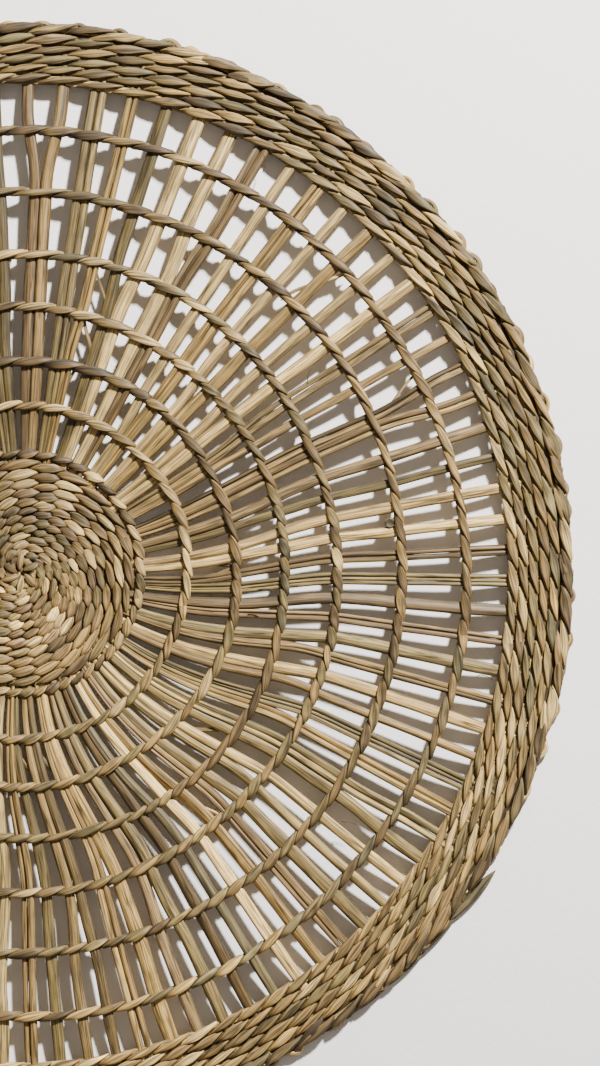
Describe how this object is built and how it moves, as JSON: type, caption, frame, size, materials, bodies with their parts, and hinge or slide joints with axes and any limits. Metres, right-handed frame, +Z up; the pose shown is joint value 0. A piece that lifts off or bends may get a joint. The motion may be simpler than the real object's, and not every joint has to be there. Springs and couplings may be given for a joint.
{
  "type": "seagrass placemat",
  "caption": "Round open-weave placemat of twined seagrass, with a dense centre, open rings of stakes and a dense turned border.",
  "frame": {"origin": "centre of the flat underside, on the surface that the mat lies on", "axes": "+Z up, through the thickness, out of the upper face; +X to the right in the picture, +Y to its top"},
  "size_m": [0.38, 0.38, 0.0062],
  "materials": {
    "seagrass": "dry plant stem, warm straw with grey-green and brown stems, soft satin sheen"
  },
  "bodies": {
    "root": {"woven_mat": "seagrass"}
  },
  "joints": []
}
